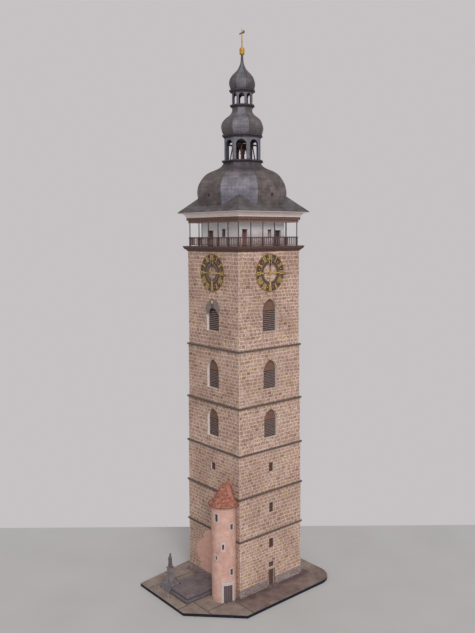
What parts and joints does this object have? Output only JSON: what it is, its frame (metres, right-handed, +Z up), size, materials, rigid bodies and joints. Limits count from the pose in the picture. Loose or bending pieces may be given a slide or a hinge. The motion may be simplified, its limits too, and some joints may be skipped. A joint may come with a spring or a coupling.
{
  "type": "card scale model of a clock tower",
  "caption": "Card scale model of a square stone clock tower with an open gallery, octagonal domes, two arcaded lanterns and a round stair turret, on a shaped base board.",
  "frame": {"origin": "on the tower's vertical axis, at the underside of the base board", "axes": "+Z up, -Y out of the front with the door, -X out of the side with the stair turret"},
  "size_m": [0.1427, 0.1208, 0.4841],
  "materials": {
    "board": "matte",
    "printed_stone": "matte",
    "granite_print": "matte",
    "dark_trim": "matte",
    "louvre": "matte",
    "pane": "matte",
    "door": "matte",
    "step_stone": "matte",
    "dial_black": "satin",
    "gilt": "satin",
    "gallery_floor": "matte",
    "gallery_wood": "matte",
    "beam_wood": "matte",
    "white_plaster": "matte",
    "room_doors": "matte",
    "slate": "satin",
    "skirt_slate": "matte",
    "lantern_print": "satin",
    "bell_metal": "satin",
    "salmon_plaster": "matte",
    "turret_tile": "matte",
    "white_trim": "matte",
    "violet_stone": "matte",
    "figure_stone": "matte",
    "pole_gilt": "satin",
    "vane_metal": "satin"
  },
  "bodies": {
    "root": {"back_balustrade": "gallery_wood", "back_wall": "printed_stone", "base_board": "board", "bell": "bell_metal", "bell_beam": "gallery_wood", "bollards": "violet_stone", "clock_dials": "dial_black", "clock_hands": "gilt", "eaves_cove": "white_plaster", "front_balustrade": "gallery_wood", "front_door": "door", "front_door_step": "step_stone", "front_wall": "printed_stone", "gallery_beam": "beam_wood", "gallery_doors": "room_doors", "gallery_fascia": "gallery_wood", "gallery_floor": "gallery_floor", "gallery_posts": "gallery_wood", "gallery_room": "white_plaster", "gilt_finial": "pole_gilt", "left_balustrade": "gallery_wood", "left_wall": "printed_stone", "louvres": "louvre", "lower_lantern_arcade": "lantern_print", "lower_lantern_cornice": "lantern_print", "lower_lantern_sill": "lantern_print", "main_dome": "slate", "middle_bulb": "slate", "monument_figure": "figure_stone", "monument_pedestal": "violet_stone", "platform_steps": "violet_stone", "plinth": "granite_print", "right_balustrade": "gallery_wood", "right_wall": "printed_stone", "skirt_roof": "skirt_slate", "string_courses": "dark_trim", "top_onion": "slate", "turret_door": "door", "turret_door_frame": "white_trim", "turret_roof": "turret_tile", "turret_step": "step_stone", "turret_wall": "salmon_plaster", "turret_window_frames": "white_trim", "turret_window_panes": "pane", "upper_lantern_arcade": "lantern_print", "upper_lantern_cornice": "lantern_print", "upper_lantern_sill": "lantern_print", "vane": "vane_metal", "window_panes": "pane"}
  },
  "joints": []
}
